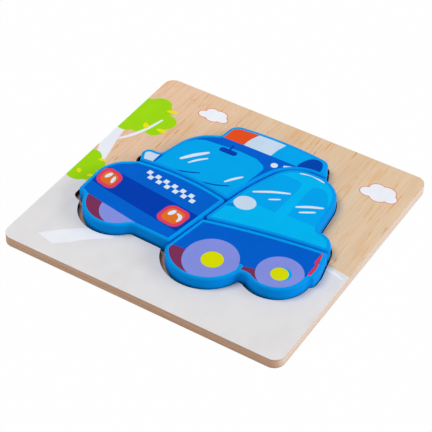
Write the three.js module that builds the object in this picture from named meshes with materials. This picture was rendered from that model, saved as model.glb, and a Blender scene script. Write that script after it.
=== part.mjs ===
// Wooden tray puzzle for a small child: a toy car in four chunky blocks that lift straight up out of
// a shallow tray made of two glued sheets. Millimetres and degrees, +Z up, with the origin on the
// table under the middle of the tray. Seen from above, +X is the car's tail and +Y is its roof.

import * as THREE from 'three';

// Tray: a plain backing sheet, and a frame sheet with the car's outline cut out of it
const BACKING_THICKNESS = 2.2;
const FRAME_THICKNESS = 3;
const TRAY_CORNER_RADIUS = 5.5;
const MARGIN_LEFT = 12.03;
const MARGIN_RIGHT = 10.12;
const MARGIN_FRONT = 17.92;
const MARGIN_BACK = 16.68;

// Blocks, and how loosely they lie in the recess
const BLOCK_THICKNESS = 9;
const EDGE_RADIUS = 1.2;
const FACE_CORNER_RADIUS = 0.5;
const SEAM_GAP = 0.7;
const RECESS_CLEARANCE = 1.4;
const RECESS_INNER_RADIUS = 0.7;
const TOUCH_GAP = 0.35;
const SLIDE_HEADING = -28;

// Seams, measured from the point where bonnet, windscreen and side meet
const SEAM_LEAN = 9.6;
const PILLAR_SEAM_RADIUS = 130;
const BONNET_SPAN = 50.9;
const BONNET_RISE = 1.5;
const BONNET_CROWN = 2.6;
const WAIST_DROP = 17.2;
const WAIST_RISE = 12;
const WAIST_CROWN = 1.3;

// Bonnet, with its bumper and the tyre that shows below it
const SHOULDER_SLOPE = 35;
const SHOULDER_OVERHANG = 13;
const SHOULDER_RADIUS = 18;
const BONNET_SIDE_DEPTH = 31.3;
const BUMPER_SLOPE = 24;
const BONNET_DEPTH = 39.6;
const BONNET_SILL_SLOPE = 1.5;
const BONNET_TYRE_RADIUS = 17.2;
const BONNET_TYRE_SHOW = 7;
const BONNET_TYRE_INSET = 21.6;
const BONNET_TYRE_FILLET = 5;

// Lower side, with the front tyre, the rear tyre and the rear bumper
const FRONT_TYRE_RADIUS = 20.2;
const FRONT_TYRE_SHOW = 14.6;
const FRONT_TYRE_OVERLAP = 2.7;
const FRONT_TYRE_BLEND = 6;
const SILL_RISE = 0.7;
const TYRE_GAP = 3.75;
const REAR_TYRE_RADIUS = 15.8;
const REAR_TYRE_SHOW = 2.85;
const REAR_BUMPER_RISE = 17.9;
const REAR_BUMPER_REACH = 2.05;
const REAR_BUMPER_SLOPE = 34;
const REAR_BUMPER_FACE = 6.1;
const TAIL_LEAN = 12;
const TAIL_BLEND = 10;

// Boot and cabin
const BOOT_HEIGHT = 9.2;
const BOOT_SLOPE = 10;
const BOOT_RADIUS = 11.5;
const BOOT_LENGTH = 9.65;
const CABIN_REAR_LEAN = 6;
const CABIN_HEIGHT = 40.1;
const CABIN_REAR_RADIUS = 19;
const CABIN_FRONT_RADIUS = 19.5;

// Windscreen, with the door mirror and the light bar on the roof
const MIRROR_HEIGHT = 10.95;
const MIRROR_LEAN = 27;
const MIRROR_RADIUS = 4.4;
const MIRROR_ROOT = 5.5;
const PILLAR_LEAN = 14;
const PILLAR_HEIGHT = 22.4;
const ROOF_SLOPE = 24;
const ROOF_RADIUS = 25;
const BAR_SETBACK = 11.7;
const BAR_HEIGHT = 13.3;
const BAR_TOP_RADIUS = 180;
const BAR_LEFT_LEAN = 6;
const BAR_LEFT_RADIUS = 6.5;
const BAR_RIGHT_REACH = 32.2;
const BAR_RIGHT_LEAN = 23.7;
const BAR_RIGHT_RADIUS = 5;

// Finish
const BACKING_COLOUR = 0xc9a27c;
const FRAME_COLOUR = 0xdebe96;
const BONNET_COLOUR = 0x0064d2;
const WINDSCREEN_COLOUR = 0x00a8f2;
const SIDE_WINDOW_COLOUR = 0x00b8f5;
const LOWER_SIDE_COLOUR = 0x005ccb;
const BARE_ROUGHNESS = 0.75;
const PRINTED_ROUGHNESS = 0.6;
const PAINTED_ROUGHNESS = 0.4;

// Fineness of the facets, and how fast a fillet that doesn't fit is made smaller
const FACET_ERROR = 0.02;
const EDGE_STEPS = 3;
const FILLET_SHRINK = 0.9;

// Corners of a block keep a small radius on its face, inside the rounded edge and the seam.
const BLOCK_CORNER = EDGE_RADIUS + SEAM_GAP / 2 + FACE_CORNER_RADIUS;
// Inside corners keep a small radius in the recess, which lies outside them.
const INNER_CORNER = RECESS_CLEARANCE + RECESS_INNER_RADIUS;

const point = (x, y) => new THREE.Vector2(x, y);
const radians = THREE.MathUtils.degToRad;
const rise = (slope) => Math.tan(radians(slope));
const leftOf = (v) => point(-v.y, v.x);

// An edge of an outline is a straight line or a circle. It has a direction, and the wood is on its left.
function straight(through, heading) {
  return { through, along: point(Math.cos(radians(heading)), Math.sin(radians(heading))) };
}

function round(centre, radius, turn = 1) {
  return { centre, radius, turn };
}

// A round edge from one point to another that stands out by the crown, to the right of its direction.
function bowed(from, to, crown) {
  const chord = to.clone().sub(from);
  const radius = chord.length() ** 2 / (8 * crown) + crown / 2;
  const inward = leftOf(chord).normalize();
  const middle = from.clone().add(to).multiplyScalar(0.5);
  return round(middle.addScaledVector(inward, radius - crown), radius);
}

function reversed(edge) {
  if (edge.along) return { through: edge.through, along: edge.along.clone().negate() };
  return round(edge.centre, edge.radius, -edge.turn);
}

function movedLeft(edge, distance) {
  if (!edge.along) return round(edge.centre, edge.radius - edge.turn * distance, edge.turn);
  const through = edge.through.clone().addScaledVector(leftOf(edge.along), distance);
  return { through, along: edge.along };
}

function directionAt(edge, place) {
  if (edge.along) return edge.along;
  return leftOf(place.clone().sub(edge.centre)).multiplyScalar(edge.turn);
}

// The point of an edge that lies closest to a place.
function footOn(edge, place) {
  if (!edge.along) {
    const outward = place.clone().sub(edge.centre).setLength(edge.radius);
    return edge.centre.clone().add(outward);
  }
  const reach = place.clone().sub(edge.through).dot(edge.along);
  return edge.through.clone().addScaledVector(edge.along, reach);
}

// The points where two edges, carried on as far as needed, cross each other.
function crossings(a, b) {
  if (a.along && b.along) {
    const gap = b.through.clone().sub(a.through);
    const reach = gap.cross(b.along) / a.along.cross(b.along);
    return [a.through.clone().addScaledVector(a.along, reach)];
  }
  if (b.along) return crossings(b, a);
  let foot = footOn(a, b.centre);
  let across = a.along;
  if (!a.along) {
    const between = b.centre.clone().sub(a.centre);
    const share = (between.lengthSq() + a.radius ** 2 - b.radius ** 2) / (2 * between.length());
    foot = a.centre.clone().addScaledVector(between.clone().normalize(), share);
    across = leftOf(between).normalize();
  }
  const half = Math.sqrt(Math.max(b.radius ** 2 - foot.distanceToSquared(b.centre), 0));
  return [half, -half].map((reach) => foot.clone().addScaledVector(across, reach));
}

// The corner where one edge gives way to the next. A radius above zero rounds an outside corner,
// one below zero fills an inside corner, and zero joins two edges that already touch smoothly.
function corner(before, after, radius) {
  const bend = (place) => directionAt(before, place).cross(directionAt(after, place)) * Math.sign(radius);
  const tip = crossings(before, after).sort((p, q) => bend(q) - bend(p))[0];
  if (radius === 0) return { from: tip, to: tip };
  const centres = crossings(movedLeft(before, radius), movedLeft(after, radius));
  const centre = centres.sort((p, q) => p.distanceTo(tip) - q.distanceTo(tip))[0];
  const arc = round(centre, Math.abs(radius), Math.sign(radius));
  return { arc, from: footOn(before, centre), to: footOn(after, centre) };
}

function sweepOf(circle, from, to) {
  const start = from.clone().sub(circle.centre).angle();
  const end = to.clone().sub(circle.centre).angle();
  return { start, sweep: THREE.MathUtils.euclideanModulo((end - start) * circle.turn, 2 * Math.PI) };
}

// A stretch of an edge is used up when the two fillets at its ends would run into each other. On a
// circle the stretch then runs backwards, which shows as a sweep of nearly the whole circle.
const LONGEST_SWEEP = radians(270);

function isUsedUp(edge, from, to) {
  if (edge.along) return to.clone().sub(from).dot(edge.along) < 0;
  return sweepOf(edge, from, to).sweep > LONGEST_SWEEP;
}

// Turns a closed chain of [edge, radius of the corner after it] into the arcs of its outline. The
// straight stretches run from the end of one arc to the start of the next. A fillet that is too
// large for the edges beside it is made smaller until it fits.
function outline(chain) {
  const radii = chain.map(([, radius]) => radius);
  const edges = chain.map(([edge]) => edge);
  const last = chain.length - 1;
  let corners;
  let crowded;
  do {
    corners = edges.map((edge, i) => corner(edge, edges[i === last ? 0 : i + 1], radii[i]));
    crowded = edges.findIndex((edge, i) => isUsedUp(edge, corners.at(i - 1).to, corners[i].from));
    if (crowded >= 0) {
      radii[crowded] *= FILLET_SHRINK;
      radii[crowded === 0 ? last : crowded - 1] *= FILLET_SHRINK;
    }
  } while (crowded >= 0 && Math.max(...radii) > FACET_ERROR);
  const arcs = [];
  edges.forEach((edge, i) => {
    if (!edge.along) arcs.push({ ...edge, ...sweepOf(edge, corners.at(i - 1).to, corners[i].from) });
    const { arc, from, to } = corners[i];
    if (arc) arcs.push({ ...arc, ...sweepOf(arc, from, to) });
  });
  return arcs;
}

// The points of an outline moved inwards by a distance, or outwards by one below zero. Arcs that
// touch share one point.
function ring(arcs, inset) {
  const points = arcs.flatMap(({ centre, radius, turn, start, sweep }) => {
    const steps = Math.ceil(sweep / (2 * Math.acos(1 - FACET_ERROR / radius)));
    const end = start + turn * sweep;
    const curve = new THREE.ArcCurve(centre.x, centre.y, radius - turn * inset, start, end, turn < 0);
    return curve.getPoints(steps);
  });
  return points.filter((p, i) => p.distanceTo(points.at(i - 1)) > FACET_ERROR / 2);
}

// Seams
const meeting = point(0, 0);
const seamDown = straight(meeting, -90 - SEAM_LEAN);
const onSeam = (depth) => point(-depth * rise(SEAM_LEAN), -depth);
const notch = point(-BONNET_SPAN, BONNET_RISE);
const bonnetSeam = bowed(meeting, notch, BONNET_CROWN);
const pillarCentre = point(Math.cos(radians(SEAM_LEAN)), -Math.sin(radians(SEAM_LEAN)));
const pillarSeam = round(pillarCentre.multiplyScalar(PILLAR_SEAM_RADIUS), PILLAR_SEAM_RADIUS);

// Bonnet
const bonnetLeft = notch.x - SHOULDER_OVERHANG;
const seamFoot = onSeam(BONNET_DEPTH);
const shoulder = straight(notch, 180 + SHOULDER_SLOPE);
const bonnetSide = straight(point(bonnetLeft, 0), -90);
const bumperUnder = straight(point(bonnetLeft, -BONNET_SIDE_DEPTH), -BUMPER_SLOPE);
const bonnetSill = straight(seamFoot, -BONNET_SILL_SLOPE);
const bonnetTyreY = seamFoot.y - BONNET_TYRE_SHOW + BONNET_TYRE_RADIUS;
const bonnetTyre = round(point(bonnetLeft + BONNET_TYRE_INSET, bonnetTyreY), BONNET_TYRE_RADIUS);

// Lower side: each tyre stands beside the one before it, at the height of the sill between them
const sillY = seamFoot.y + SILL_RISE;
const tyreSill = straight(point(0, sillY), 0);
const frontTyreX = seamFoot.x - FRONT_TYRE_OVERLAP + FRONT_TYRE_RADIUS;
const frontTyreY = seamFoot.y - FRONT_TYRE_SHOW + FRONT_TYRE_RADIUS;
const frontTyre = round(point(frontTyreX, frontTyreY), FRONT_TYRE_RADIUS);
const rearTyreY = sillY - REAR_TYRE_SHOW + REAR_TYRE_RADIUS;
const halfWidthAtSill = (radius, centreY) => Math.sqrt(radius ** 2 - (sillY - centreY) ** 2);
const frontHalf = halfWidthAtSill(FRONT_TYRE_RADIUS, frontTyreY);
const rearHalf = halfWidthAtSill(REAR_TYRE_RADIUS, rearTyreY);
const rearTyreX = frontTyreX + frontHalf + TYRE_GAP + rearHalf;
const rearTyre = round(point(rearTyreX, rearTyreY), REAR_TYRE_RADIUS);
const rearBumperX = rearTyreX + REAR_TYRE_RADIUS + REAR_BUMPER_REACH;
const rearBumperY = rearTyreY - REAR_TYRE_RADIUS + REAR_BUMPER_RISE;
const rearBumperUnder = straight(point(rearBumperX, rearBumperY), REAR_BUMPER_SLOPE);
const rearBumperFace = straight(point(rearBumperX, rearBumperY), 90);
const tailFoot = point(rearBumperX, rearBumperY + REAR_BUMPER_FACE);
const tail = straight(tailFoot, 90 + TAIL_LEAN);
const onTail = (y) => point(tailFoot.x - (y - tailFoot.y) * rise(TAIL_LEAN), y);
const waistFront = onSeam(WAIST_DROP);
const waistRear = onTail(waistFront.y + WAIST_RISE);
const waist = bowed(waistRear, waistFront, WAIST_CROWN);

// Boot and cabin
const bootTip = onTail(waistRear.y + BOOT_HEIGHT);
const bootTop = straight(bootTip, 180 - BOOT_SLOPE);
const cabinFoot = point(bootTip.x - BOOT_LENGTH, bootTip.y + BOOT_LENGTH * rise(BOOT_SLOPE));
const cabinRear = straight(cabinFoot, 90 + CABIN_REAR_LEAN);
const roof = straight(point(0, CABIN_HEIGHT), 180);
const rearRoof = corner(cabinRear, roof, CABIN_REAR_RADIUS).arc;

// Windscreen, mirror and light bar
const mirrorSide = straight(notch, -90 + MIRROR_LEAN);
const mirrorTop = straight(point(0, notch.y + MIRROR_HEIGHT), 180);
const pillarFoot = point(notch.x + MIRROR_ROOT, notch.y + MIRROR_HEIGHT);
const pillar = straight(pillarFoot, -90 - PILLAR_LEAN);
const pillarTip = point(pillarFoot.x + PILLAR_HEIGHT * rise(PILLAR_LEAN), pillarFoot.y + PILLAR_HEIGHT);
const roofShoulder = straight(pillarTip, 180 + ROOF_SLOPE);
const barFoot = point(pillarTip.x + BAR_SETBACK, pillarTip.y + BAR_SETBACK * rise(ROOF_SLOPE));
const barLeft = straight(barFoot, -90 - BAR_LEFT_LEAN);
const barRight = straight(point(BAR_RIGHT_REACH, CABIN_HEIGHT), 90 + BAR_RIGHT_LEAN);
const barMiddle = (barFoot.x + BAR_RIGHT_REACH) / 2;
const barTop = round(point(barMiddle, CABIN_HEIGHT + BAR_HEIGHT - BAR_TOP_RADIUS), BAR_TOP_RADIUS);

// Outline of each block, counterclockwise
const blocks = {
  bonnet_piece: [
    [bumperUnder, -INNER_CORNER],
    [bonnetTyre, -BONNET_TYRE_FILLET],
    [bonnetSill, BLOCK_CORNER],
    [reversed(seamDown), BLOCK_CORNER],
    [bonnetSeam, BLOCK_CORNER],
    [shoulder, SHOULDER_RADIUS],
    [bonnetSide, BLOCK_CORNER],
  ],
  windscreen_piece: [
    [reversed(bonnetSeam), BLOCK_CORNER],
    [reversed(pillarSeam), -CABIN_FRONT_RADIUS],
    [reversed(roof), BLOCK_CORNER],
    [barRight, BAR_RIGHT_RADIUS],
    [barTop, BAR_LEFT_RADIUS],
    [barLeft, -INNER_CORNER],
    [roofShoulder, ROOF_RADIUS],
    [pillar, -INNER_CORNER],
    [mirrorTop, MIRROR_RADIUS],
    [mirrorSide, BLOCK_CORNER],
  ],
  side_window_piece: [
    [reversed(waist), BLOCK_CORNER],
    [tail, BOOT_RADIUS],
    [bootTop, -INNER_CORNER],
    [cabinRear, CABIN_REAR_RADIUS],
    [roof, CABIN_FRONT_RADIUS],
    [pillarSeam, 0],
    [seamDown, BLOCK_CORNER],
  ],
  lower_side_piece: [
    [seamDown, FRONT_TYRE_BLEND],
    [frontTyre, -INNER_CORNER],
    [tyreSill, -INNER_CORNER],
    [rearTyre, -INNER_CORNER],
    [rearBumperUnder, BLOCK_CORNER],
    [rearBumperFace, TAIL_BLEND],
    [tail, BLOCK_CORNER],
    [waist, BLOCK_CORNER],
  ],
};

// Outline of the whole car, which the recess follows at a clearance
const car = outline([
  [bumperUnder, -INNER_CORNER],
  [bonnetTyre, -BONNET_TYRE_FILLET],
  [bonnetSill, -INNER_CORNER],
  [frontTyre, -INNER_CORNER],
  [tyreSill, -INNER_CORNER],
  [rearTyre, -INNER_CORNER],
  [rearBumperUnder, BLOCK_CORNER],
  [rearBumperFace, TAIL_BLEND],
  [tail, BOOT_RADIUS],
  [bootTop, -INNER_CORNER],
  [cabinRear, 0],
  [rearRoof, -INNER_CORNER],
  [barRight, BAR_RIGHT_RADIUS],
  [barTop, BAR_LEFT_RADIUS],
  [barLeft, -INNER_CORNER],
  [roofShoulder, ROOF_RADIUS],
  [pillar, -INNER_CORNER],
  [mirrorTop, MIRROR_RADIUS],
  [mirrorSide, -INNER_CORNER],
  [shoulder, SHOULDER_RADIUS],
  [bonnetSide, BLOCK_CORNER],
]);
const recess = ring(car, -RECESS_CLEARANCE);

// The tray is as large as the recess and its margins need. The sketch of the car is placed in it so
// that the tray is centred on the origin.
const recessBox = new THREE.Box2().setFromPoints(recess);
const recessSize = recessBox.getSize(point(0, 0));
const trayWidth = MARGIN_LEFT + recessSize.x + MARGIN_RIGHT;
const trayDepth = MARGIN_FRONT + recessSize.y + MARGIN_BACK;
const sketchPlace = point(MARGIN_LEFT - trayWidth / 2, MARGIN_FRONT - trayDepth / 2).sub(recessBox.min);

// The blocks have slid together in the recess until they nearly touch its rim.
const slack = RECESS_CLEARANCE + SEAM_GAP / 2 - TOUCH_GAP;
const slideAngle = radians(SLIDE_HEADING);
const slide = point(slack * Math.cos(slideAngle), slack * Math.sin(slideAngle));
const blockPlace = sketchPlace.clone().add(slide);

function sheetGeometry(shape, thickness) {
  return new THREE.ExtrudeGeometry(shape, { depth: thickness, bevelEnabled: false });
}

// A block stands on z = 0, with the edges of both faces rounded.
function blockGeometry(arcs) {
  const geometry = new THREE.ExtrudeGeometry(new THREE.Shape(ring(arcs, SEAM_GAP / 2)), {
    depth: BLOCK_THICKNESS - 2 * EDGE_RADIUS,
    bevelThickness: EDGE_RADIUS,
    bevelSize: EDGE_RADIUS,
    bevelOffset: -EDGE_RADIUS,
    bevelSegments: EDGE_STEPS,
  });
  return geometry.translate(0, 0, EDGE_RADIUS);
}

function mesh(name, geometry, color, roughness) {
  const made = new THREE.Mesh(geometry, new THREE.MeshStandardMaterial({ color, roughness, metalness: 0 }));
  made.name = name;
  return made;
}

const trayOutline = ring(outline([
  [straight(point(0, -trayDepth / 2), 0), TRAY_CORNER_RADIUS],
  [straight(point(trayWidth / 2, 0), 90), TRAY_CORNER_RADIUS],
  [straight(point(0, trayDepth / 2), 180), TRAY_CORNER_RADIUS],
  [straight(point(-trayWidth / 2, 0), -90), TRAY_CORNER_RADIUS],
]), 0);

const puzzle = new THREE.Group();
puzzle.name = 'wooden_car_puzzle';

const backingSheet = sheetGeometry(new THREE.Shape(trayOutline), BACKING_THICKNESS);
const backing = mesh('tray_backing', backingSheet, BACKING_COLOUR, BARE_ROUGHNESS);
const frameShape = new THREE.Shape(trayOutline);
frameShape.holes.push(new THREE.Path(recess.map((p) => p.clone().add(sketchPlace))));
const frameSheet = sheetGeometry(frameShape, FRAME_THICKNESS);
const frame = mesh('tray_frame', frameSheet, FRAME_COLOUR, PRINTED_ROUGHNESS);
frame.position.z = BACKING_THICKNESS;
puzzle.add(backing, frame);

const blockColours = {
  bonnet_piece: BONNET_COLOUR,
  windscreen_piece: WINDSCREEN_COLOUR,
  side_window_piece: SIDE_WINDOW_COLOUR,
  lower_side_piece: LOWER_SIDE_COLOUR,
};
for (const [name, chain] of Object.entries(blocks)) {
  const block = mesh(name, blockGeometry(outline(chain)), blockColours[name], PAINTED_ROUGHNESS);
  block.position.set(blockPlace.x, blockPlace.y, BACKING_THICKNESS);
  puzzle.add(block);
}

export default puzzle;
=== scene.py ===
# Wooden tray puzzle: a toy car in four printed blocks that lie in a shallow tray of two glued sheets.
# The scene is in metres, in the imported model's frame. Print is drawn in millimetres, seen from above,
# with +X towards the car's tail and +Y towards its roof.

import math

import bmesh
import bpy
from mathutils import Matrix, Vector
from mathutils.geometry import delaunay_2d_cdt, normal


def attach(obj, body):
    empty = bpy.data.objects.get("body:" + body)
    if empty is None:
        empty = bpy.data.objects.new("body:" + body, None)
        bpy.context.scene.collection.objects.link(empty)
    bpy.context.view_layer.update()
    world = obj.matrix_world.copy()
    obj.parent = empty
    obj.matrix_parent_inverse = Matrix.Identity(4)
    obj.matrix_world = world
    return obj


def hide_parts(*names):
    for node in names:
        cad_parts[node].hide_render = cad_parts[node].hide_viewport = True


MM = 0.001

# Camera, at the photograph's viewing angle: place in metres, angles in degrees, optics in millimetres
CAMERA_PLACE = (0.2891, -0.4940, 0.5109)
CAMERA_AZIMUTH = 30.49
CAMERA_ELEVATION = 41.80
CAMERA_ROLL = 2.02
SENSOR = 36
LENS = 133.57

# The nearest distance that the camera sees, in metres
CLIP_START = 0.01

# Light: shares of the light on a level surface, which add up to about 1, and the lamps in metres
SKY_SHARE = 0.41
KEY_SHARE = 0.18
FILL_SHARE = 0.42
KEY_PLACE = (1.5, 0.44, 0.52)
FILL_PLACE = (-0.6, -0.15, 1.2)
KEY_SIZE = 1
FILL_SIZE = 0.7

# Floor: its size and its drop below the part in metres, its share of plain white to the eye, its looks
FLOOR_SIZE = 8
FLOOR_DROP = 0.0001
FLOOR_GLOW = 0.985
FLOOR_GREY = 0.62
FLOOR_ROUGHNESS = 0.9

# Edges of the blocks' paint and of the sheets, in millimetres
PAINT_BORDER = 0.75
PRINT_SHIFT = (0.1, -0.45)
FRAME_EASE = 0.04
BACKING_EASE = 0.06

# Edges that turn more than this, in degrees, are shown sharp
SMOOTH_ANGLE = 35

# Places closer than these are the same, in metres on the solids and in millimetres in the print
SAME_LEVEL = 0.000001
SAME_POINT = 0.0000004
SAME_PRINT_POINT = 0.001

# Lines that turn by less than this are parallel, by the sine of the turn
PARALLEL = 0.0001

# A face whose normal rises by more than this belongs to a block's rim
UPWARD = 0.05

# The cosine of half a turn, which limits how far the point of a sharp corner moves
CORNER_LIMIT = 0.5

# The way of dividing an area that gives the triangles inside its loops
TRIANGLES_INSIDE = 1

# Steps in a span of a curve, in a full round, in a corner or leaf, and in the end of a stroke
CURVE_STEPS = 7
ROUND_STEPS = 44
CORNER_STEPS = 8
CAP_STEPS = 6

# Gloss: the level of reflection of ink, paint and wood, and the roughness of the print
INK_SPECULAR = 0.02
WOOD_SPECULAR = 0.2
BLOCK_ROUGHNESS = 0.4
TRAY_ROUGHNESS = 0.52

# Paint and ink on the blocks
BLOCK_INKS = {
    "border": "#009BEC",
    # Painted shade: the rounded edges and the walls, in the border's blue made darker
    "shaded_rim": "#0098EE",
    "side": "#0091EE",
    "mid_blue": "#0061CE",
    "dark_blue": "#003DB0",
    "side_blue": "#005ECC",
    "roof_blue": "#0060D0",
    "sky_blue": "#00B6F3",
    "glass": "#00A6EE",
    "window": "#00A6F0",
    "arm_blue": "#0086DC",
    "navy": "#0044AE",
    "lamp_red": "#E04060",
    "lamp_orange": "#E07028",
    "tail_red": "#E03050",
    "beacon_red": "#E85020",
    "beacon_blue": "#00A8F2",
    "pale": "#C8DCF0",
    "white": "#DCE8F6",
    "maroon": "#7A3058",
    "purple": "#8490E0",
    "yellow": "#DADD00",
}

# Ink on the tray
TRAY_INKS = {
    "road": "#E5E3E4",
    "lane": "#F0F2F8",
    "leaf_green": "#9FDC14",
    "trunk": "#EEF1F9",
    "leaf_yellow": "#F2E61C",
    "cloud": "#F1F4FC",
    "cloud_line": "#E08C70",
}

# Wood: its base from the car's nose to its tail, its deep grain, its flames and flecks, and their strength
PRINTED_WOOD = {
    "warm": "#ECC9AB",
    "pale": "#E6CCAC",
    "deep": "#D8AD84",
    "glow": "#E09E50",
    "streak": "#E0924C",
    "streaks": 0.9,
    "roughness": 0.5,
}
BARE_WOOD = {
    "warm": "#D0A083",
    "pale": "#D0A083",
    "deep": "#AE7C5C",
    "glow": "#A87450",
    "streak": "#A87450",
    "streaks": 0.5,
    "roughness": 0.75,
}

# Where the base turns from warm to pale, along X in millimetres
WARM_END = -60
PALE_START = -10

# Cut edges: a pale and a deep tone of the end grain and of the long grain
SAWN_EDGE = {
    "end_grain": ("#E6BFA2", "#DAAD90"),
    "long_grain": ("#E8D4C6", "#DFC8B6"),
    "roughness": 0.68,
}
# The recess's cut wall: near black, painted shade of the narrow gap round the blocks
SHADED_CUT = {
    "end_grain": ("#33261F", "#17110E"),
    "long_grain": ("#33261F", "#17110E"),
    "roughness": 0.85,
}

# Grain: about the size of its features along X, Y and Z, in millimetres
INK_GRAIN = (1.1, 16, 1.1)
INK_SPECKLE = (0.35, 0.35, 0.35)
INK_CLOUDS = (9, 14, 9)
WOOD_GRAIN = (1.3, 30, 1.3)
WOOD_FIGURE = (12, 90, 12)
WOOD_FLAME = (1.7, 26, 1.7)
WOOD_FLECKS = (0.8, 13, 0.8)
WOOD_PORES = (0.3, 5, 0.3)
EDGE_LAYERS = (60, 60, 1.3)
EDGE_FIBRES = (14, 14, 0.6)

# Printed lamps, in millimetres: the corners of the lamp and its lens, and how much smaller the lens is
LAMP_CORNER = 4.2
LENS_CORNER = 3
LENS_SHRINK = 3.7

# Printed clouds: the line round them in millimetres, each puff's place and radius as shares of the cloud's
# width and height, and how much more the place and the radius count in height
CLOUD_LINE = 0.5
CLOUD_PUFFS = ((-0.3, -0.12, 0.2), (-0.12, 0.16, 0.22), (0.14, 0.14, 0.25), (0.31, -0.08, 0.19),
               (0.02, -0.16, 0.24))
PUFF_RISE = 1.3
PUFF_HEIGHT = 1.35


# Drawing

def anticlockwise(points):
    turn = sum(p.cross(q) for p, q in zip(points, points[1:] + points[:1]))
    return points if turn > 0 else points[::-1]


def polygon(*points):
    return anticlockwise([Vector(p) for p in points])


def ellipse(x, y, half_width, half_height=None, tilt=0):
    half_height = half_height or half_width
    turn = Matrix.Rotation(math.radians(tilt), 2)
    points = []
    for step in range(ROUND_STEPS):
        angle = 2 * math.pi * step / ROUND_STEPS
        points.append(turn @ Vector((half_width * math.cos(angle), half_height * math.sin(angle))))
    return [p + Vector((x, y)) for p in points]


# A box with rounded corners, whose rows rise by the slope and whose columns lean to the right
def rounded_box(x, y, width, height, radius, slope=0, lean=0):
    skew = Matrix(((1, lean), (slope, 1)))
    points = []
    for quarter, (sx, sy) in enumerate(((1, 1), (-1, 1), (-1, -1), (1, -1))):
        centre = Vector((sx * (width / 2 - radius), sy * (height / 2 - radius)))
        for step in range(CORNER_STEPS + 1):
            angle = math.pi / 2 * (quarter + step / CORNER_STEPS)
            points.append(centre + radius * Vector((math.cos(angle), math.sin(angle))))
    return [skew @ p + Vector((x, y)) for p in points]


# A smooth curve through the points
def curve(points, closed):
    count = len(points)
    places = [Vector(p) for p in points]
    result = []
    for i in range(count if closed else count - 1):
        picks = range(i - 1, i + 3)
        if closed:
            a, b, c, d = (places[k % count] for k in picks)
        else:
            a, b, c, d = (places[min(max(k, 0), count - 1)] for k in picks)
        for step in range(CURVE_STEPS):
            t = step / CURVE_STEPS
            bend = (2 * a - 5 * b + 4 * c - d) * t ** 2 + (3 * b - a - 3 * c + d) * t ** 3
            result.append((2 * b + (c - a) * t + bend) / 2)
    if not closed:
        result.append(places[-1])
    return result


def blob(*points):
    return anticlockwise(curve(points, True))


# A brush stroke with round ends, which thins towards them by the taper
def stroke(points, width, taper=0.0):
    path = curve(points, False)
    last = len(path) - 1
    left = []
    right = []
    caps = []
    for i, place in enumerate(path):
        along = (path[min(i + 1, last)] - path[max(i - 1, 0)]).normalized()
        side = Vector((-along.y, along.x))
        half = width / 2 * (1 - taper + taper * math.sin(math.pi * i / last))
        left.append(place + side * half)
        right.append(place - side * half)
        if i in (0, last):
            ahead = along if i else -along
            across = side if i else -side
            angles = [math.pi * (k / CAP_STEPS - 0.5) for k in range(1, CAP_STEPS)]
            caps.append([place + half * (math.sin(a) * across + math.cos(a) * ahead) for a in angles])
    return right + caps[1] + left[::-1] + caps[0]


# A leaf with two pointed ends
def leaf(x, y, length, width, tilt):
    turn = Matrix.Rotation(math.radians(tilt), 2)
    steps = range(CORNER_STEPS)
    upper = [Vector((length * (0.5 - s / CORNER_STEPS), width / 2 * math.sin(math.pi * s / CORNER_STEPS)))
             for s in steps]
    return [turn @ p + Vector((x, y)) for p in upper + [-p for p in upper]]


# Print on each block: ink and area, where a later area covers the ones before it

def lamp_print(x, y, width, height, slope, lean):
    lens = (width - LENS_SHRINK, height - LENS_SHRINK)
    return [
        ("lamp_red", rounded_box(x, y, width, height, LAMP_CORNER, slope, lean)),
        ("lamp_orange", rounded_box(x, y, *lens, LENS_CORNER, slope, lean)),
    ]


# Two rows of squares in a chequer, along a slanted line
def chequer(x, y, size, columns, tilt):
    turn = Matrix.Rotation(math.radians(tilt), 2)
    areas = []
    for column in range(columns):
        low = (column - columns / 2) * size
        base = -size if column % 2 else 0
        corners = ((low, base), (low + size, base), (low + size, base + size), (low, base + size))
        areas.append(("white", [turn @ Vector(c) + Vector((x, y)) for c in corners]))
    return areas


BONNET_PRINT = [
    ("maroon", polygon((-52.7, -32.2), (-24.4, -36.8), (-24.4, -55), (-62, -55), (-58, -36))),
    ("purple", ellipse(-33, -33, 11.3)),
    ("mid_blue", polygon((-70, -26.6), (-52.7, -32.2), (-24.4, -36.8), (-22, -37.3), (-18, -50),
                         (20, -50), (20, 20), (-70, 20))),
    ("dark_blue", polygon((-70, -8.8), (-58, -10.3), (-46, -11.8), (-24, -14.3), (-2, -16.9), (9, -18.2),
                          (9, -33.6), (-4, -31.7), (-24, -28.7), (-46, -25.5), (-59.5, -23), (-70, -21))),
    *lamp_print(-51.5, -17.4, 11.9, 12.2, -0.2, 0.02),
    ("white", ellipse(-52.9, -15.8, 2.4, 1.15, 72)),
    ("white", ellipse(-49.2, -17.5, 2.6, 0.95, -80)),
    *lamp_print(-11.2, -23.4, 13.2, 13, -0.11, 0.15),
    ("white", ellipse(-12.9, -21.7, 2.35, 1.3, 66)),
    ("white", stroke([(-10.2, -21.1), (-8.3, -21.9), (-7.5, -23.8), (-7.8, -25.6)], 1.9, 0.5)),
    *chequer(-23.5, -6.4, 2.6, 12, -8),
]

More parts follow.
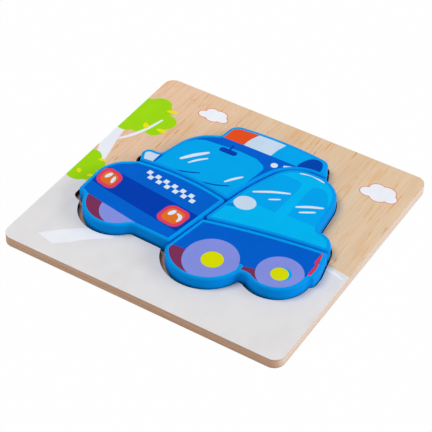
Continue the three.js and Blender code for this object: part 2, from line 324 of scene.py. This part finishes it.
WINDSCREEN_PRINT = [
    ("roof_blue", polygon((-70, -10), (60, -10), (60, 70), (-70, 70))),
    ("pale", polygon((-56, -1), (-41.3, -1), (-41.2, 4.5), (-41, 14), (-56, 14))),
    ("glass", polygon((-40.4, -5), (-40.2, 4.8), (-39.5, 10.3), (-38.3, 19.1), (-35.9, 26.3), (-32.4, 30.6),
                      (-28.2, 32.6), (-18.7, 33.6), (-9.7, 34.5), (0, 34), (5, 31.5), (6.8, 29), (6.3, 24),
                      (5.3, 18), (4.3, 10), (3.3, 4), (2.4, -5))),
    ("white", stroke([(-31, 14), (-27, 19.5), (-22, 25)], 2.2, 0.4)),
    ("white", stroke([(-26.2, 13.5), (-23.4, 17.5), (-20, 21)], 1.3, 0.4)),
    ("white", stroke([(-4, 11), (-1.4, 15), (1.4, 18.5)], 1.5, 0.4)),
    ("dark_blue", rounded_box(-14.5, 31.2, 9.5, 3.4, 1.5, 0.02)),
    ("dark_blue", stroke([(-14.5, 33), (-14.5, 36)], 1.2)),
    ("dark_blue", stroke([(-30, 4.9), (-24, 6.6), (-17.5, 9.7)], 0.9, 0.3)),
    ("dark_blue", stroke([(-13, 4.8), (-7, 6.2), (-0.8, 9.2)], 0.9, 0.3)),
    ("beacon_red", polygon((-40, 38.8), (-22.5, 39.3), (-10.8, 39.7), (-10.5, 43), (-9.8, 46), (-8, 50.5),
                           (-7, 60), (-40, 60))),
    ("pale", polygon((-10.8, 39.7), (4.6, 39.9), (7, 51), (9, 60), (-7, 60), (-8, 50.5), (-9.8, 46),
                     (-10.5, 43))),
    ("beacon_blue", polygon((4.6, 39.9), (19.6, 39.9), (24, 60), (9, 60), (7, 51), (5.3, 45.5))),
    ("border", polygon((19.6, 39.9), (45, 40.4), (45, 60), (24, 60))),
    ("navy", blob((19.5, 40), (20, 44.5), (22, 48), (24.5, 49.6), (27.5, 49.5), (29.5, 47.5),
                  (30.5, 44.5), (30.3, 41.5), (26, 40.4))),
    ("white", ellipse(9.7, 34.5, 1.8)),
    ("white", stroke([(14.3, 36.5), (18, 38)], 1.3)),
]

SIDE_WINDOW_PRINT = [
    ("sky_blue", polygon((-20, -40), (80, -40), (80, 60), (-20, 60))),
    ("window", polygon((8.5, 5), (27.4, 5), (28, 16), (28.5, 27.6), (27.6, 30), (25.8, 31), (18, 31.2),
                       (16.2, 30.6), (12.5, 24), (9.8, 14), (8.5, 7))),
    ("window", polygon((33, 6.2), (48, 6.4), (48.1, 13), (46.5, 21), (43, 28.5), (40, 31.2), (38, 32),
                       (35.5, 31.6), (33.8, 30.4), (33, 28))),
    ("white", stroke([(11.2, 12.2), (18.5, 16.8), (26.5, 20.5)], 1.5, 0.35)),
    ("white", stroke([(20.3, 11.5), (24.7, 14.3)], 1.0, 0.3)),
    ("white", stroke([(33.8, 14), (39, 17.3), (44.7, 20)], 1.6, 0.35)),
    ("white", stroke([(37, 11.5), (43, 15.3)], 1.3, 0.3)),
    ("arm_blue", polygon((2.6, -2.2), (4.1, -1.5), (7.7, 0.2), (10, 1), (11, -1.2), (9.5, -1.8),
                         (5.7, -3.3), (4.2, -3.9))),
    ("pale", ellipse(12, 3.1, 5.5, 4.9, 10)),
    ("white", stroke([(23.5, 36.3), (29, 37.8), (36, 36.6)], 1.0, 0.3)),
]

LOWER_SIDE_PRINT = [
    ("side_blue", polygon((-20, -60), (80, -60), (80, 20), (-20, 20))),
    ("maroon", polygon((-12, -40.8), (-1.3, -40), (6.2, -39.3), (19, -38), (17, -60), (-12, -60))),
    ("border", polygon((29, -37), (32.4, -33.6), (33.7, -34.5), (37, -46), (27, -46))),
    ("maroon", polygon((33.7, -34.5), (40, -33), (50, -31), (47, -60), (34.5, -60))),
    ("purple", ellipse(19, -38.7, 13.1, 13.9)),
    ("yellow", ellipse(19.7, -38.5, 5.3)),
    ("purple", ellipse(50, -29.6, 11.2)),
    ("window", ellipse(51.2, -29.3, 4.4)),
    ("yellow", ellipse(50.1, -29.9, 4.2)),
    ("tail_red", stroke([(60.3, -7.1), (60.3, -14.4)], 1.5)),
    ("tail_red", stroke([(60.3, -14.4), (61.6, -15.5)], 1.5)),
    ("tail_red", stroke([(61.6, -15.5), (61.6, -23.2)], 1.5)),
]


# Print on the tray: a road, a tree and two clouds

def cloud(x, y, width, height):
    areas = []
    for ink, grow in (("cloud_line", CLOUD_LINE), ("cloud", 0)):
        for dx, dy, share in CLOUD_PUFFS:
            place = (x + dx * width, y + dy * height * PUFF_RISE)
            areas.append((ink, ellipse(*place, share * width + grow, share * height * PUFF_HEIGHT + grow)))
    return areas


def foliage(*rounds):
    return [("leaf_green", ellipse(x, y, radius)) for x, y, radius in rounds]


FRAME_PRINT = [
    ("road", blob((-90, -21.5), (-75, -21.3), (-66, -19.6), (-50, -18.6), (-20, -17), (20, -11), (50, -8),
                  (66, -7.6), (80, -9.6), (100, -14), (100, -100), (0, -110), (-100, -100))),
    ("lane", stroke([(63, -9.9), (68, -10.2), (73, -11.8)], 1.8, 0.6)),
    ("lane", polygon((-61, -62.3), (-51.2, -64.6), (-44.8, -59.4), (-42.3, -56.4), (-38.2, -52.7),
                     (-34.5, -49.9), (-29.7, -46.4), (-30.7, -44), (-38, -43), (-47, -49.4), (-53.9, -55))),
    ("trunk", polygon((-80, 36), (-80, 20), (-72.5, 2), (-70, -10), (-64, -10), (-66, 1), (-69.3, 15),
                      (-71.8, 30))),
    *foliage((-66.5, 49.4, 6.3), (-72.5, 46, 6), (-62.6, 46.5, 5), (-56.8, 39.6, 5.8), (-58.6, 32.2, 5.4),
             (-66, 31.4, 6.2), (-72.6, 29, 6), (-74, 39, 7), (-65, 40, 9)),
    *foliage((-73, -3.5, 6), (-67.6, -7, 5.2), (-71, -15, 6.8), (-66.6, -15, 4.6), (-76, -10, 7)),
    ("trunk", stroke([(-70.4, 15), (-66.4, 20), (-62, 29), (-59, 40)], 1.9, 0.45)),
    ("leaf_yellow", leaf(-58.5, 48.6, 6.2, 2.6, 20)),
    ("leaf_yellow", leaf(-63.4, 32, 5.4, 3, -50)),
    ("leaf_yellow", leaf(-54.6, 32.8, 6.2, 2.7, 5)),
    ("leaf_yellow", leaf(-66.4, -2.2, 4.6, 2, 20)),
    ("leaf_yellow", leaf(-71.3, -15, 4, 2.3, -50)),
    ("leaf_yellow", leaf(-64.7, -15.1, 3.6, 2, 30)),
    *cloud(-39, 58, 16, 9),
    *cloud(59.5, 51, 19, 11.5),
]

# Blocks: name, node, body, slot and print
BLOCKS = (
    ("bonnet_block", "bonnet_piece", "bonnet", "paint_mid_blue", BONNET_PRINT),
    ("windscreen_block", "windscreen_piece", "windscreen", "paint_sky_blue", WINDSCREEN_PRINT),
    ("side_window_block", "side_window_piece", "side_window", "paint_light_blue", SIDE_WINDOW_PRINT),
    ("lower_side_block", "lower_side_piece", "lower_side", "paint_dark_blue", LOWER_SIDE_PRINT),
)


# Materials

# A colour code as linear light, times a level
def shade(code, level=1):
    channels = [int(code[i:i + 2], 16) / 255 for i in (1, 3, 5)]
    light = [c / 12.92 if c <= 0.04045 else ((c + 0.055) / 1.055) ** 2.4 for c in channels]
    return (*[min(c * level, 1) for c in light], 1)


def add_node(tree, kind, inputs=None, **settings):
    made = tree.nodes.new(kind)
    for key, value in settings.items():
        setattr(made, key, value)
    for key, value in (inputs or {}).items():
        if isinstance(value, bpy.types.NodeSocket):
            tree.links.new(value, made.inputs[key])
        else:
            made.inputs[key].default_value = value
    return made


def blank_material(name):
    material = bpy.data.materials.new(name)
    material.use_nodes = True
    tree = material.node_tree
    return material, tree, tree.nodes["Principled BSDF"]


# Noise whose features have about the given sizes
def noise(tree, sizes, detail=3):
    place = add_node(tree, "ShaderNodeTexCoord").outputs["Object"]
    scale = [1 / (size * MM) for size in sizes]
    mapped = add_node(tree, "ShaderNodeMapping", {"Vector": place, "Scale": scale})
    inputs = {"Vector": mapped.outputs["Vector"], "Scale": 1, "Detail": detail}
    return add_node(tree, "ShaderNodeTexNoise", inputs).outputs[0]


# A value whose range from low to high is spread over another range
def spread(tree, value, low, high, to_low=0, to_high=1):
    inputs = {"Value": value, "From Min": low, "From Max": high, "To Min": to_low, "To Max": to_high}
    return add_node(tree, "ShaderNodeMapRange", inputs).outputs["Result"]


# Two colours mixed by a factor. The numbers are those of a mix node's factor and colour sockets.
def mixed(tree, factor, first, second):
    inputs = {0: factor, 6: first, 7: second}
    return add_node(tree, "ShaderNodeMix", inputs, data_type="RGBA").outputs[2]


def add_bump(tree, shader, height, strength, depth):
    inputs = {"Height": height, "Strength": strength, "Distance": depth * MM}
    bump = add_node(tree, "ShaderNodeBump", inputs)
    tree.links.new(bump.outputs["Normal"], shader.inputs["Normal"])


# Ink or paint over wood: the grain shows faintly in its tone and its surface
def ink_material(name, code, roughness):
    material, tree, shader = blank_material(name)
    grain = noise(tree, INK_GRAIN)
    speckle = noise(tree, INK_SPECKLE, 2)
    cloudy = noise(tree, INK_CLOUDS, 2)
    tone = mixed(tree, spread(tree, cloudy, 0.3, 0.7), shade(code, 0.97), shade(code, 1.03))
    tone = mixed(tree, spread(tree, grain, 0.45, 0.75, 0, 0.2), tone, shade(code, 0.94))
    tree.links.new(tone, shader.inputs["Base Color"])
    shader.inputs["Specular IOR Level"].default_value = INK_SPECULAR
    rough = spread(tree, speckle, 0.3, 0.7, roughness - 0.05, roughness + 0.06)
    tree.links.new(rough, shader.inputs["Roughness"])
    add_bump(tree, shader, grain, 0.06, 0.12)
    return material


def ink_set(prefix, codes, roughness):
    return {name: ink_material(prefix + name, code, roughness) for name, code in codes.items()}


# Wood whose grain runs along Y. Each layer of tone shows where its noise passes a level.
def wood_material(name, warm, pale, deep, glow, streak, streaks, roughness):
    material, tree, shader = blank_material(name)
    place = add_node(tree, "ShaderNodeTexCoord").outputs["Object"]
    along = add_node(tree, "ShaderNodeSeparateXYZ", {"Vector": place}).outputs["X"]
    base = mixed(tree, spread(tree, along, WARM_END * MM, PALE_START * MM), shade(warm), shade(pale))
    grain = noise(tree, WOOD_GRAIN, 4)
    figure = noise(tree, WOOD_FIGURE, 2)
    flame = noise(tree, WOOD_FLAME, 1)
    flecks = noise(tree, WOOD_FLECKS, 1)
    pores = noise(tree, WOOD_PORES, 2)
    tone = mixed(tree, spread(tree, figure, 0.35, 0.7, 0, 0.4), base, shade(deep))
    tone = mixed(tree, spread(tree, grain, 0.42, 0.7, 0, 0.36), tone, shade(deep))
    tone = mixed(tree, spread(tree, flame, 0.56, 0.72, 0, streaks / 2), tone, shade(glow))
    tone = mixed(tree, spread(tree, flecks, 0.68, 0.75, 0, streaks), tone, shade(streak, 0.9))
    tone = mixed(tree, spread(tree, pores, 0.6, 0.75, 0, 0.15), tone, shade(deep, 0.85))
    tree.links.new(tone, shader.inputs["Base Color"])
    rough = spread(tree, grain, 0.3, 0.7, roughness - 0.06, roughness + 0.08)
    tree.links.new(rough, shader.inputs["Roughness"])
    shader.inputs["Specular IOR Level"].default_value = WOOD_SPECULAR
    add_bump(tree, shader, pores, 0.15, 0.1)
    return material


# The sawn edge of thin plywood, with its layers: end grain at the front and back, long grain at the sides
def edge_material(name, end_grain, long_grain, roughness):
    material, tree, shader = blank_material(name)
    layers = noise(tree, EDGE_LAYERS, 2)
    fibres = noise(tree, EDGE_FIBRES, 2)
    facing = add_node(tree, "ShaderNodeTexCoord").outputs["Normal"]
    parts = add_node(tree, "ShaderNodeSeparateXYZ", {"Vector": facing})
    sideways = add_node(tree, "ShaderNodeMath", {0: parts.outputs["X"]}, operation="ABSOLUTE").outputs[0]
    tones = []
    for pale, deep in (end_grain, long_grain):
        tone = mixed(tree, spread(tree, layers, 0.35, 0.65), shade(pale), shade(deep))
        tones.append(mixed(tree, spread(tree, fibres, 0.5, 0.7, 0, 0.28), tone, shade(deep, 0.86)))
    tone = mixed(tree, spread(tree, sideways, 0.7, 0.98), tones[0], tones[1])
    shader.inputs["Specular IOR Level"].default_value = WOOD_SPECULAR
    tree.links.new(tone, shader.inputs["Base Color"])
    rough = spread(tree, fibres, 0.3, 0.7, roughness - 0.08, roughness + 0.08)
    tree.links.new(rough, shader.inputs["Roughness"])
    add_bump(tree, shader, fibres, 0.1, 0.12)
    return material


# Solids

# A node's points, each kept once, and its triangles
def merged(node):
    node.data.calc_loop_triangles()
    points = []
    known = {}
    index = []
    for vertex in node.data.vertices:
        place = tuple(vertex.co)
        if place not in known:
            known[place] = len(points)
            points.append(vertex.co.copy())
        index.append(known[place])
    return points, [tuple(index[i] for i in t.vertices) for t in node.data.loop_triangles]


# The loops around a set of faces, with the faces on their left
def rims(faces):
    steps = {pair for face in faces for pair in zip(face, face[1:] + face[:1])}
    after = {a: b for a, b in steps if (b, a) not in steps}
    loops = []
    while after:
        start, here = after.popitem()
        loop = [start]
        while here != start:
            loop.append(here)
            here = after.pop(here)
        loops.append(loop)
    return loops


# A loop moved to its left by a distance, in millimetres
def inset(loop, distance):
    result = []
    for before, here, after in zip(loop[-1:] + loop[:-1], loop, loop[1:] + loop[:1]):
        sides = [Vector((-d.y, d.x)).normalized() for d in (here - before, after - here)]
        middle = (sides[0] + sides[1]).normalized()
        result.append(here + middle * distance / max(middle.dot(sides[0]), CORNER_LIMIT))
    return result


# Where two lines cross, each given by a place and a way. Parallel lines meet at the second place.
def crossing(first, second):
    turn = first[1].cross(second[1])
    if abs(turn) < PARALLEL:
        return second[0]
    return first[0] + first[1] * ((second[0] - first[0]).cross(second[1]) / turn)


# The area inside a painted border, which the print leaves free. The steps of a corner that is
# tighter than the border turn round, and their neighbours meet in a point instead.
def printable(edge):
    lines = []
    for a, b in zip(edge, edge[1:] + edge[:1]):
        way = (b - a).normalized()
        lines.append((a + PAINT_BORDER * Vector((-way.y, way.x)), way))
    while True:
        corners = [crossing(*pair) for pair in zip(lines[-1:] + lines[:-1], lines)]
        steps = zip(corners, corners[1:] + corners[:1])
        kept = [line for line, (a, b) in zip(lines, steps) if (b - a).dot(line[1]) > 0]
        if len(kept) == len(lines):
            return [corner + Vector(PRINT_SHIFT) for corner in corners]
        lines = kept


# Divides the area inside the outline and outside the holes by the print that covers it. Gives the
# points, and each triangle with its ink.
def divide(outline, holes, areas, bare):
    loops = [outline, *[hole[::-1] for hole in holes], *[area for _, area in areas]]
    points = []
    faces = []
    for loop in loops:
        faces.append([len(points) + i for i in range(len(loop))])
        points += loop
    found = delaunay_2d_cdt(points, [], faces, TRIANGLES_INSIDE, SAME_PRINT_POINT)
    places, _, triangles, _, _, sources = found
    first_area = 1 + len(holes)
    kept = []
    for face, origins in zip(triangles, sources):
        if 0 not in origins or any(0 < origin < first_area for origin in origins):
            continue
        ink = areas[max(origins) - first_area][0] if max(origins) >= first_area else bare
        kept.append((tuple(face), ink))
    return places, kept


# A piece made of faces, each with its corners and its ink
def solid(name, faces, inks):
    mesh = bpy.data.meshes.new(name)
    for material in inks.values():
        mesh.materials.append(material)
    slots = {ink: i for i, ink in enumerate(inks)}
    form = bmesh.new()
    for corners, ink in faces:
        face = form.faces.new([form.verts.new(corner) for corner in corners])
        face.material_index = slots[ink]
    bmesh.ops.remove_doubles(form, verts=form.verts, dist=SAME_POINT)
    bmesh.ops.recalc_face_normals(form, faces=form.faces)
    for face in form.faces:
        face.smooth = True
    form.to_mesh(mesh)
    form.free()
    mesh.set_sharp_from_angle(angle=math.radians(SMOOTH_ANGLE))
    piece = bpy.data.objects.new(name, mesh)
    bpy.context.scene.collection.objects.link(piece)
    return piece


# A point of the print as a place in metres, at a level
def lifted(point, level):
    return Vector((point.x * MM, point.y * MM, level))


# The faces of a divided area, at a level
def flat_faces(places, inked, level):
    return [([lifted(places[i], level) for i in t], ink) for t, ink in inked]


# The level of a node's top face, the triangles of that face, and the rest
def split_top(points, triangles):
    top = max(p.z for p in points)
    upper = [t for t in triangles if all(points[i].z > top - SAME_LEVEL for i in t)]
    rest = [t for t in triangles if not all(points[i].z > top - SAME_LEVEL for i in t)]
    return top, upper, rest


# The loops around a set of triangles, seen from above in millimetres
def flat_loops(points, triangles):
    return [[points[i].xy / MM for i in loop] for loop in rims(triangles)]


# A block keeps the node's form. Its top face is divided by the print, inside a painted border. Its rounded
# edges and walls take darker copies of the border's blue, as painted shade.
def build_block(name, node, areas, inks):
    points, triangles = merged(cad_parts[node])
    top, upper, rest = split_top(points, triangles)
    faces = []
    # Rounded edges and walls get the border's blue darkened, as painted shade
    for triangle in rest:
        corners = [points[i] for i in triangle]
        faces.append((corners, "shaded_rim" if normal(corners).z > UPWARD else "side"))
    edge = flat_loops(points, upper)[0]
    places, printed = divide(printable(edge), [], areas, "border")
    faces += flat_faces(places, printed, top)
    inner = [places[i] for i in rims([t for t, _ in printed])[0]]
    places, border = divide(edge, [inner[::-1]], [], "border")
    faces += flat_faces(places, border, top)
    used = {"border", "shaded_rim", "side"} | {ink for ink, _ in areas}
    return solid(name, faces, {ink: material for ink, material in inks.items() if ink in used})


# A sheet has the node's outline and holes, with eased upper edges.
def build_sheet(name, node, areas, ease, inks):
    points, triangles = merged(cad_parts[node])
    top, upper, _ = split_top(points, triangles)
    bottom = min(p.z for p in points)
    loops = flat_loops(points, upper)
    loops.sort(key=lambda loop: max(p.x for p in loop), reverse=True)
    eased = [inset(loop, ease) for loop in loops]
    places, printed = divide(eased[0], eased[1:], areas, "top")
    faces = flat_faces(places, printed, top)
    ink_at = {}
    for t, ink in printed:
        for pair in zip(t, t[1:] + t[:1]):
            ink_at[pair] = ink
    rounds = rims([t for t, _ in printed])
    rounds.sort(key=lambda loop: max(places[i].x for i in loop), reverse=True)
    walls = []
    for number, loop in enumerate(rounds):
        # The recess wall takes the near-black cut, painted shade of the gap; the outer wall takes the sawn
        # edge
        wall_ink = "cut" if number else "edge"
        outer = inset([places[i] for i in loop], -ease)
        walls.append(outer)
        for k in range(len(loop)):
            a, b = loop[k - 1], loop[k]
            far_a, far_b = outer[k - 1], outer[k]
            high = [lifted(places[b], top), lifted(places[a], top)]
            eaves = [lifted(far_a, top - ease * MM), lifted(far_b, top - ease * MM)]
            feet = [lifted(far_a, bottom), lifted(far_b, bottom)]
            faces.append((high + eaves, ink_at[(a, b)]))
            faces.append((eaves[::-1] + feet, wall_ink))
    places, under = divide(walls[0], walls[1:], [], "under")
    faces += flat_faces(places, under, bottom)
    return solid(name, faces, inks)


# Stage

# One for a ray that the eye sees, directly, in a gloss or through glass, and zero for other rays
def white_to_the_eye(tree):
    rays = add_node(tree, "ShaderNodeLightPath").outputs
    inputs = {0: rays["Is Camera Ray"], 1: rays["Is Glossy Ray"]}
    seen = add_node(tree, "ShaderNodeMath", inputs, operation="ADD")
    inputs = {0: seen.outputs[0], 1: rays["Is Transmission Ray"]}
    return add_node(tree, "ShaderNodeMath", inputs, operation="ADD", use_clamp=True).outputs[0]


# A floor that looks white and keeps the part's shadow
def make_floor():
    half = FLOOR_SIZE / 2
    mesh = bpy.data.meshes.new("floor")
    corners = [(-half, -half), (half, -half), (half, half), (-half, half)]
    mesh.from_pydata([(x, y, -FLOOR_DROP) for x, y in corners], [], [(0, 1, 2, 3)])
    material, tree, shader = blank_material("floor")
    shader.inputs["Base Color"].default_value = (FLOOR_GREY, FLOOR_GREY, FLOOR_GREY, 1)
    shader.inputs["Roughness"].default_value = FLOOR_ROUGHNESS
    glow = add_node(tree, "ShaderNodeEmission", {"Color": (1, 1, 1, 1), "Strength": 1})
    inputs = {0: white_to_the_eye(tree), 1: FLOOR_GLOW}
    share = add_node(tree, "ShaderNodeMath", inputs, operation="MULTIPLY")
    inputs = {0: share.outputs[0], 1: shader.outputs[0], 2: glow.outputs[0]}
    both = add_node(tree, "ShaderNodeMixShader", inputs)
    tree.links.new(both.outputs[0], tree.nodes["Material Output"].inputs["Surface"])
    mesh.materials.append(material)
    floor = bpy.data.objects.new("floor", mesh)
    bpy.context.scene.collection.objects.link(floor)


def make_sky():
    world = bpy.data.worlds.new("studio")
    world.use_nodes = True
    tree = world.node_tree
    inputs = {"Value": white_to_the_eye(tree), "To Min": SKY_SHARE, "To Max": 1}
    level = add_node(tree, "ShaderNodeMapRange", inputs)
    background = tree.nodes["Background"]
    background.inputs["Color"].default_value = (1, 1, 1, 1)
    tree.links.new(level.outputs["Result"], background.inputs["Strength"])
    bpy.context.scene.world = world


# A soft box that faces the part and gives a share of the light on a level surface
def add_lamp(name, place, size, share):
    lamp = bpy.data.lights.new(name, "AREA")
    lamp.size = size
    way = Vector(place)
    lamp.energy = share * math.pi ** 2 * way.length ** 3 / way.z
    holder = bpy.data.objects.new(name, lamp)
    holder.matrix_world = Matrix.Translation(way) @ way.to_track_quat("Z", "Y").to_matrix().to_4x4()
    bpy.context.scene.collection.objects.link(holder)


def make_camera():
    camera = bpy.data.cameras.new("camera")
    camera.sensor_width = SENSOR
    camera.lens = LENS
    camera.clip_start = CLIP_START
    holder = bpy.data.objects.new("camera", camera)
    turn = Matrix.Rotation(math.radians(CAMERA_AZIMUTH), 4, "Z")
    tip = Matrix.Rotation(math.radians(90 - CAMERA_ELEVATION), 4, "X")
    roll = Matrix.Rotation(math.radians(CAMERA_ROLL), 4, "Z")
    holder.matrix_world = Matrix.Translation(CAMERA_PLACE) @ turn @ tip @ roll
    bpy.context.scene.collection.objects.link(holder)
    bpy.context.scene.camera = holder


# Scene

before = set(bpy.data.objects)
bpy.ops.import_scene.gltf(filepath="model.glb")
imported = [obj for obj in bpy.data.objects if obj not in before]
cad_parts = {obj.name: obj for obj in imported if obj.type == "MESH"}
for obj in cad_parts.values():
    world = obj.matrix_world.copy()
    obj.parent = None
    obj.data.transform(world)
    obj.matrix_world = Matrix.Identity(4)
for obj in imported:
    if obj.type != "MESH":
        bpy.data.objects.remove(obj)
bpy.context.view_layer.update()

block_inks = ink_set("block_", BLOCK_INKS, BLOCK_ROUGHNESS)
frame_inks = ink_set("tray_", TRAY_INKS, TRAY_ROUGHNESS)
printed_wood = wood_material("printed_wood", **PRINTED_WOOD)
bare_wood = wood_material("bare_wood", **BARE_WOOD)
sawn_edge = edge_material("sawn_edge", **SAWN_EDGE)
# The recess wall's near black is painted shade
shaded_cut = edge_material("shaded_cut", **SHADED_CUT)

backing = build_sheet("tray_backing_sheet", "tray_backing", [], BACKING_EASE,
                      {"top": bare_wood, "edge": sawn_edge, "under": bare_wood})
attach(backing, "tray")
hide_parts("tray_backing")

frame_looks = {"top": printed_wood, "edge": sawn_edge, "cut": shaded_cut, "under": bare_wood, **frame_inks}
upper_sheet = build_sheet("tray_frame_sheet", "tray_frame", FRAME_PRINT, FRAME_EASE, frame_looks)
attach(upper_sheet, "tray")
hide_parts("tray_frame")

for name, node, body, slot, areas in BLOCKS:
    block = build_block(name, node, areas, block_inks)
    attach(block, body)
    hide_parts(node)

make_floor()
make_sky()
add_lamp("key", KEY_PLACE, KEY_SIZE, KEY_SHARE)
add_lamp("fill", FILL_PLACE, FILL_SIZE, FILL_SHARE)
make_camera()
bpy.context.scene.view_settings.view_transform = "Standard"
